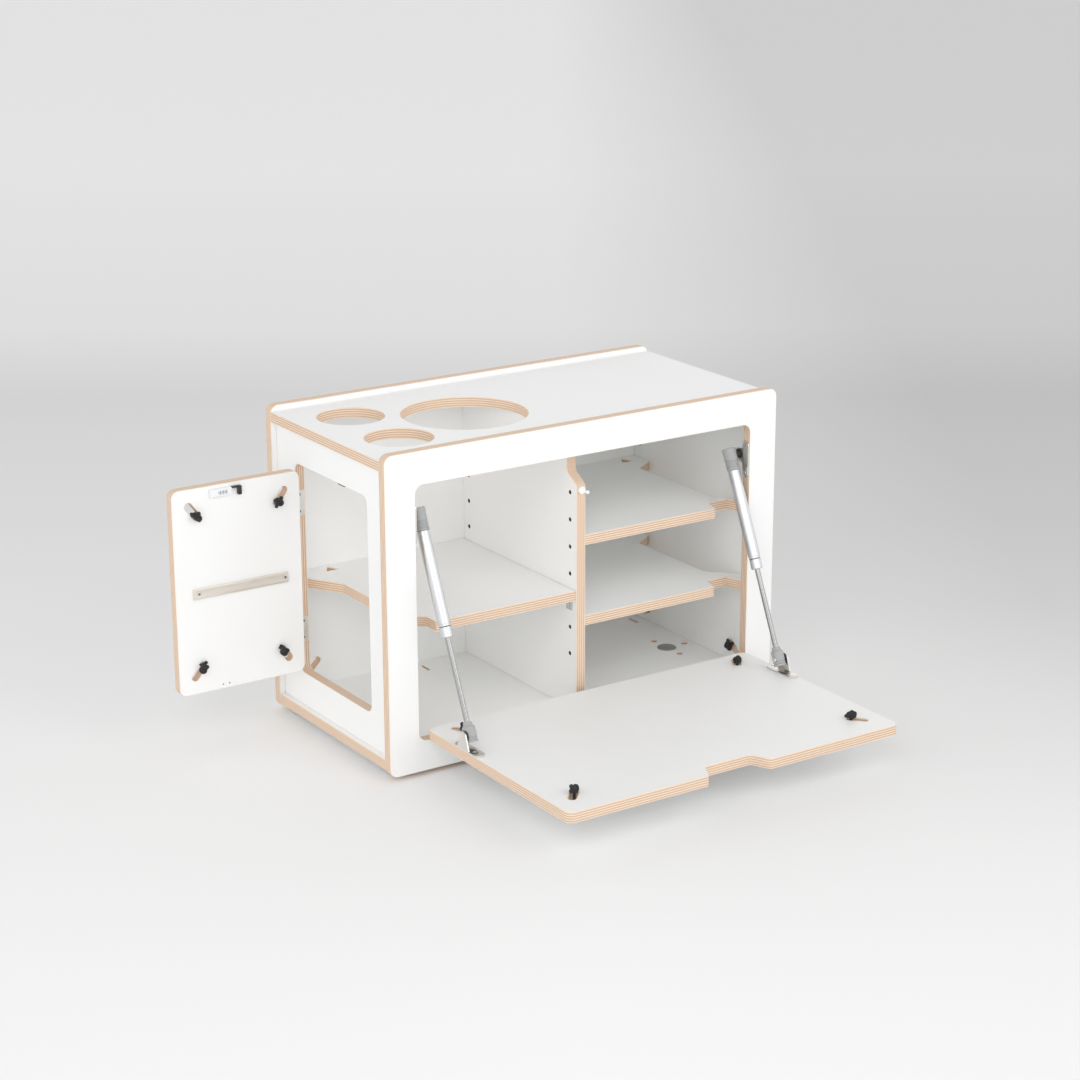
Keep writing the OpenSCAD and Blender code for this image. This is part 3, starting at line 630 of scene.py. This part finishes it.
def cord_points(start, end, inward, bow):
    """Route from inside the board through a slot, along the outer face and back in.
    start and end lie on the outer face; inward points into the object."""
    run = end - start
    span = run.length
    along = run.normalized()

    def at(s, w):
        return start + along * s + inward * w

    left = [at(0, w) for w in (BOARD_T + 3.5 * MM, BOARD_T, BOARD_T * 0.6, BEND - OFF)]
    bend = [(BEND * (1 - math.cos(a)), BEND * (1 - math.sin(a)) - OFF)
            for a in (math.radians(15 * i) for i in range(1, 7))]
    bowed = [(span / 2 + 8 * MM * i / 3, -OFF - bow * (1 + math.cos(math.radians(20 * i))) / 2)
             for i in range(-9, 10)]
    right = [at(span, w) for w in (BEND - OFF, BOARD_T * 0.6, BOARD_T, BOARD_T + 3.5 * MM)]
    return (left + [at(s, w) for s, w in bend] + [at(s, w) for s, w in bowed]
            + [at(span - s, w) for s, w in reversed(bend)] + right)


def crossed_cords(node, corners, inward):
    """Two crossing elastic cords with knotted ends; corners are the four slots' inner ends."""
    bm = bmesh.new()
    a, b, c, d = corners
    for i, (start, end, bow) in enumerate(((a, c, 0.0), (b, d, BOW))):
        sweep_into(bm, cord_points(start, end, inward, bow), CORD_R)
        across = (end - start).normalized()
        for k, (at, way) in enumerate(((start, across), (end, -across))):
            middle = at + inward * (BOARD_T + KNOT_RISE) - way * KNOT_BACK
            loops = knot_points(middle, way, inward, KNOT_SIZE, 0.5 + i + 2 * k)
            sweep_into(bm, loops, KNOT_CORD_R, closed=True)
            tail = [middle + way * (1.3 * MM * j) + inward * (0.05 * MM * j * j - 2.4 * MM)
                    for j in range(7)]
            sweep_into(bm, tail, CORD_R * 1.15)
    bmesh.ops.recalc_face_normals(bm, faces=bm.faces)
    return finish_piece(bm, node + "_braided", BODY_OF[node], [MAT["cord"]], SLOT_OF[node], [node], sharp=60)


def slot_ends(node, flat_axes, face_axis, face_side, low_slot, high_slot):
    """Inner ends of a board's four cord slots on its outer face, in order around the board.
    low_slot holds for the low end of the second flat axis, high_slot for its high end."""
    lo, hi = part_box(node)
    u, v = flat_axes
    outer = (hi if face_side > 0 else lo)[face_axis]
    corners = []
    for su, sv in ((0, 0), (1, 0), (1, 1), (0, 1)):
        offset = high_slot if sv else low_slot
        p = Vector((0, 0, 0))
        p[u] = hi[u] - offset[0] * MM if su else lo[u] + offset[0] * MM
        p[v] = hi[v] - offset[1] * MM if sv else lo[v] + offset[1] * MM
        p[face_axis] = outer
        corners.append(p)
    return corners


# ---------------------------------------------------------------- door catch


def box_into(bm, lo, hi, material):
    """Adds an upright box with the given corners to bm."""
    verts = bmesh.ops.create_cube(bm, size=1)["verts"]
    for v in verts:
        v.co = Vector(lo[k] + (hi[k] - lo[k]) * (v.co[k] + 0.5) for k in range(3))
    for f in {f for v in verts for f in v.link_faces}:
        f.material_index = material


def door_catch():
    """White catch with a row of small raised bars, a plain pattern, on its face."""
    node = "door_catch"
    lo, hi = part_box(node)
    bm = clean_copy(node)
    corners = [e for e in bm.edges if is_corner(e)]
    bmesh.ops.bevel(bm, geom=corners, offset=0.5 * MM, segments=3, profile=0.5, affect="EDGES")
    middle = (lo.z + hi.z) / 2
    first, pitch, bar_w, proud, buried = (v * MM for v in (10.5, 1.9, 0.9, 0.15, 0.3))
    for i in range(6):
        reach = (2.2 if i % 2 else 1.4) * MM
        x = lo.x + first + pitch * i
        box_into(bm, (x, lo.y - proud, middle - reach), (x + bar_w, lo.y + buried, middle + reach), 1)
    return finish_piece(bm, node + "_detail", BODY_OF[node], [MAT["white"], MAT["mark"]],
                        SLOT_OF[node], [node])


# ---------------------------------------------------------------- the object

for name, thickness_axis in BOARDS.items():
    board(name, thickness_axis)

for side in ("left", "right"):
    strut(side)
    upper_bracket(side)
    eased(side + "_lower_bracket", MAT["bracket"])

crossed_cords("side_panel_cords",
              slot_ends("right_side_panel", (1, 2), 0, 1, SIDE_SLOT, SIDE_SLOT), Vector((-1, 0, 0)))
crossed_cords("door_cords",
              slot_ends("side_door", (0, 2), 1, 1, DOOR_SLOT, DOOR_SLOT), Vector((0, -1, 0)))
crossed_cords("flap_cords",
              slot_ends("flap", (0, 1), 2, -1, FLAP_SLOT_FRONT, FLAP_SLOT_REAR), Vector((0, 0, 1)))

for name in ("side_hinge_frame_leaves", "side_hinge_door_leaves", "flap_hinge_frame_leaves",
             "flap_hinge_leaves", "side_hinge_pins", "flap_hinge_pins"):
    eased(name, MAT["bracket"], 0.12 * MM)
eased("door_bar", MAT["bar"], 0.4 * MM)
eased("floor_disc", MAT["disc"], 0.2 * MM)
eased("divider_catch", MAT["white"], 0.4 * MM)
door_catch()
eased("door_strike", MAT["black"], 0.4 * MM)
eased("door_catch_lever", MAT["black"], 0.4 * MM)
eased("feet", MAT["rubber"], 0.8 * MM)
eased("shelf_supports", MAT["clear"], 0.25 * MM)
eased("dowels", MAT["beech"], 0.4 * MM)

screws("door_bar_screws", (0, -1, 0))
screws("side_hinge_frame_screws", (0, -1, 0), 0.1 * MM)
screws("side_hinge_door_screws", (1, 0, 0), 0.1 * MM)
screws("flap_hinge_frame_screws", (0, 0, 1), 0.1 * MM)
screws("flap_hinge_screws", (0, 1, 0), 0.1 * MM)
screws("lower_bracket_screws", (0, 0, 1), 0.5 * MM)
screws("upper_bracket_screws", lambda lo, hi: Vector((1 if lo.x < 0 else -1, 0, 0)), 0.5 * MM)
screws("foot_screws", (0, 0, -1), 0.1 * MM)


# ---------------------------------------------------------------- stage, camera and light


def stage():
    """Pale floor that reaches past the view, with painted shade in its colour: a darker band a little way behind
    the object, and a painted soft shadow to its right, mostly behind it.
    """
    bm = bmesh.new()
    bmesh.ops.create_grid(bm, x_segments=8, y_segments=8, size=30)
    mesh = bpy.data.meshes.new("floor")
    bm.to_mesh(mesh)
    bm.free()
    floor = bpy.data.objects.new("floor", mesh)
    floor.location.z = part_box("feet")[0].z
    bpy.context.scene.collection.objects.link(floor)
    mat = new_material("studio_floor_painted_shade", (0.86, 0.86, 0.86), 0.75)
    vector = object_coords(mat)
    turn = add(mat, "ShaderNodeVectorRotate", rotation_type="Z_AXIS")
    turn.inputs["Angle"].default_value = math.radians(AZIMUTH)
    link(mat, vector, turn.inputs["Vector"])
    split = add(mat, "ShaderNodeSeparateXYZ")
    link(mat, turn.outputs[0], split.inputs[0])
    back = math_node(mat, "MULTIPLY_ADD", split.outputs["Y"], 1 / 9)
    back.node.inputs[2].default_value = 1 / 9
    # Painted shade: the floor's colour dips in a band about 0.7 to 2 m behind the object, then pales again
    color = ramp(mat, back, [(place, (tone, tone, tone)) for place, tone in (
        (0.03, 0.95), (0.11, 0.92), (0.19, 0.82), (0.27, 0.77), (0.33, 0.90), (0.52, 0.97), (1.0, 0.96))])
    # Painted soft shadow: darker towards the right, fading in from the front to behind the object
    painted_side_shadow = ramp(mat, math_node(mat, "MULTIPLY", split.outputs["X"], 0.5), [
        (0.03, (1, 1, 1)), (0.34, (0.79, 0.785, 0.785))])
    shade = add(mat, "ShaderNodeMix", data_type="RGBA", blend_type="MULTIPLY")
    painted_shadow_reach = ramp(mat, back, [(0.06, (0.3, 0.3, 0.3)), (0.15, (1, 1, 1))])
    link(mat, painted_shadow_reach, shade.inputs["Factor"])
    link(mat, color, shade.inputs[6])
    link(mat, painted_side_shadow, shade.inputs[7])
    link(mat, shade.outputs[2], bsdf_of(mat).inputs["Base Color"])
    mesh.materials.append(mat)


# The camera's heading and tilt below the horizon, its roll, in degrees, and its place
AZIMUTH = 33.39
ELEVATION = 17.677
ROLL = -0.177
EYE = Vector((-1.5704, -2.4158, 1.1038))


def camera():
    data = bpy.data.cameras.new("camera")
    data.lens = 86.55
    data.sensor_width = 36
    data.clip_end = 100
    cam = bpy.data.objects.new("camera", data)
    bpy.context.scene.collection.objects.link(cam)
    a, e = math.radians(AZIMUTH), math.radians(ELEVATION)
    ahead = Vector((math.sin(a) * math.cos(e), math.cos(a) * math.cos(e), -math.sin(e)))
    look = ahead.to_track_quat("-Z", "Y").to_matrix().to_4x4()
    cam.matrix_world = Matrix.Translation(EYE) @ look @ Matrix.Rotation(math.radians(ROLL), 4, "Z")
    bpy.context.scene.camera = cam


def area_light(name, at, target, size, power, color=(1, 1, 1)):
    data = bpy.data.lights.new(name, "AREA")
    data.shape = "DISK"
    data.size = size
    data.energy = power
    data.color = color
    lamp = bpy.data.objects.new(name, data)
    bpy.context.scene.collection.objects.link(lamp)
    lamp.location = at
    lamp.rotation_mode = "QUATERNION"
    lamp.rotation_quaternion = (Vector(target) - Vector(at)).to_track_quat("-Z", "Y")


def lights():
    """Bright tent: the surroundings are lighter near the horizon, with two soft lamps in front."""
    world = bpy.data.worlds.new("studio")
    bpy.context.scene.world = world
    world.use_nodes = True
    sky = world.node_tree
    coord = sky.nodes.new("ShaderNodeTexCoord")
    split = sky.nodes.new("ShaderNodeSeparateXYZ")
    tone = sky.nodes.new("ShaderNodeValToRGB")
    horizon, zenith = 1.52, 0.40
    for element, (place, value) in zip(tone.color_ramp.elements, ((0.0, horizon), (1.0, zenith))):
        element.position = place
        element.color = (value, value, value, 1)
    sky.links.new(coord.outputs["Generated"], split.inputs[0])
    sky.links.new(split.outputs["Z"], tone.inputs["Fac"])
    sky.links.new(tone.outputs["Color"], sky.nodes["Background"].inputs["Color"])
    sky.nodes["Background"].inputs["Strength"].default_value = 1.0
    area_light("key", (-1.9, -2.0, 1.9), (0, -0.2, 0.0), 1.8, 16)
    area_light("fill", (0.5, -2.0, 1.4), (0.05, -0.1, -0.1), 1.4, 7)
    # White boards pass light on many times, which is what lights the cabinet's inside
    bpy.context.scene.cycles.diffuse_bounces = 12


stage()
camera()
lights()
bpy.context.scene.view_settings.view_transform = "Standard"
